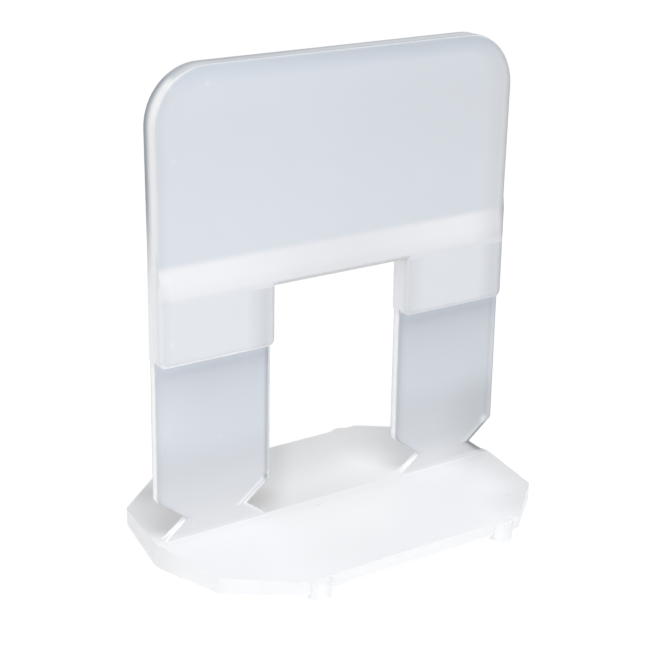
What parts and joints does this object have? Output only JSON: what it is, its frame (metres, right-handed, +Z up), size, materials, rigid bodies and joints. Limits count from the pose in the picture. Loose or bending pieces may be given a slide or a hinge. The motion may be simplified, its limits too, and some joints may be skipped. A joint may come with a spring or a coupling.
{
  "type": "tile leveling clip",
  "caption": "One-piece plastic tile leveling clip: ten-sided base on stud feet, two thin legs with break-off notches, and a thicker panel over a wedge window.",
  "frame": {"origin": "middle of the base's footprint, on the surface that the base and its stud feet stand on", "axes": "+Z up along the upright, +X along the upright's width, -Y towards the side whose pads are raised"},
  "size_m": [0.0405, 0.0288, 0.0472],
  "materials": {
    "milky_plastic": "translucent natural polypropylene, satin faces from a fine-grained mould, milky white with a cool cast"
  },
  "bodies": {
    "root": {"leveling_clip": "milky_plastic"}
  },
  "joints": []
}
